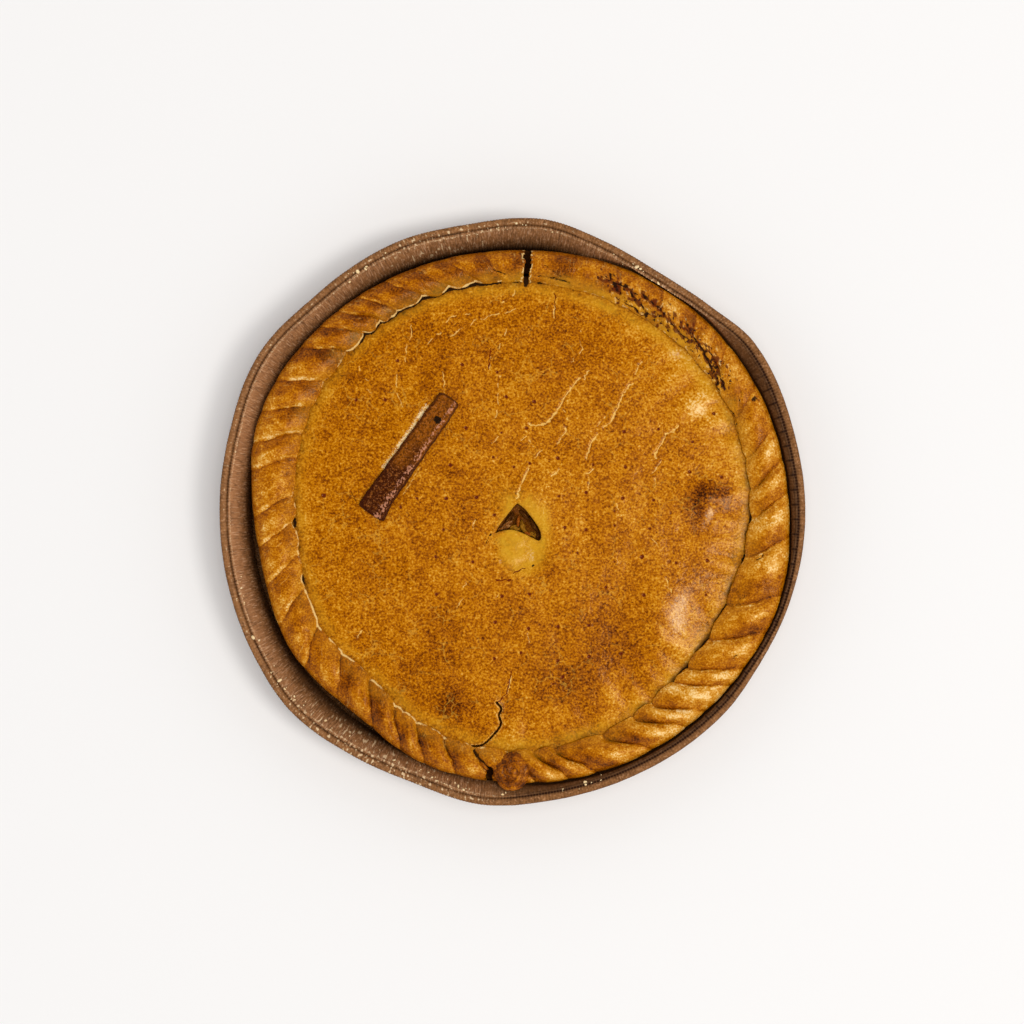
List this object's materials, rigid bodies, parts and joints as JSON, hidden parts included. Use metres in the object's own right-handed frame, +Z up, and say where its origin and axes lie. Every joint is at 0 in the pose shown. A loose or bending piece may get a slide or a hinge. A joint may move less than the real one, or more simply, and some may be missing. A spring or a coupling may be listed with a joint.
{
  "type": "tuna empanada",
  "caption": "Round savoury pie with a slanting rope edge, a domed lid with a steam vent and a dough mark, in its folded paper baking mould.",
  "frame": {"origin": "under the middle of the paper mould's outline, on the surface that the mould stands on", "axes": "+Z up, +Y towards the back, where the rope is broken by the wider gap, and -Y towards the rosette"},
  "size_m": [0.3004, 0.3012, 0.0347],
  "materials": {
    "paper_mould": "matt fluted brown baking paper",
    "base_crust": "satin, egg-washed and baked golden brown",
    "lid": "satin, egg-washed and baked golden, finely speckled",
    "filling": "moist cooked onion, pepper and tuna",
    "dough_strip": "glossy, baked dark red-brown"
  },
  "bodies": {
    "root": {"paper_mould": "paper_mould", "base_crust": "base_crust", "lid": "lid", "filling": "filling", "dough_strip": "dough_strip"}
  },
  "joints": []
}
